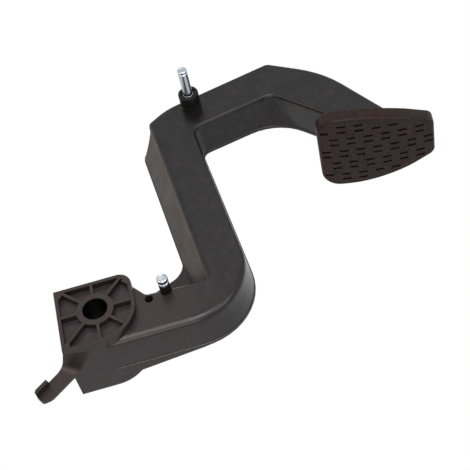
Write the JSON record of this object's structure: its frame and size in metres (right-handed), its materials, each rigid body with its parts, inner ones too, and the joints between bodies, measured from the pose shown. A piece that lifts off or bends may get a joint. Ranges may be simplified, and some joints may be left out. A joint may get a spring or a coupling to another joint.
{
  "type": "clutch pedal",
  "caption": "S-shaped moulded clutch pedal arm with a ribbed pivot hub, a switch lever, steel pins and a rubber foot pad.",
  "frame": {"origin": "on the pivot axis at the hub's lower end face", "axes": "+Z along the pivot axis towards the side with the pins, +X along the lower limb away from the hub, +Y along the middle limb towards the upper limb"},
  "size_m": [0.3533, 0.2633, 0.0965],
  "materials": {
    "moulding": "fine-grained moulded nylon with glass fibre",
    "pad_rubber": "matt moulded rubber with engraved dashes",
    "zinc_steel": "bright zinc plate",
    "collar_rubber": "smooth black"
  },
  "bodies": {
    "root": {"pedal_arm": "moulding", "pedal_pad": "pad_rubber", "long_pin": "zinc_steel", "pin_collar": "collar_rubber", "short_pin": "zinc_steel"}
  },
  "joints": []
}
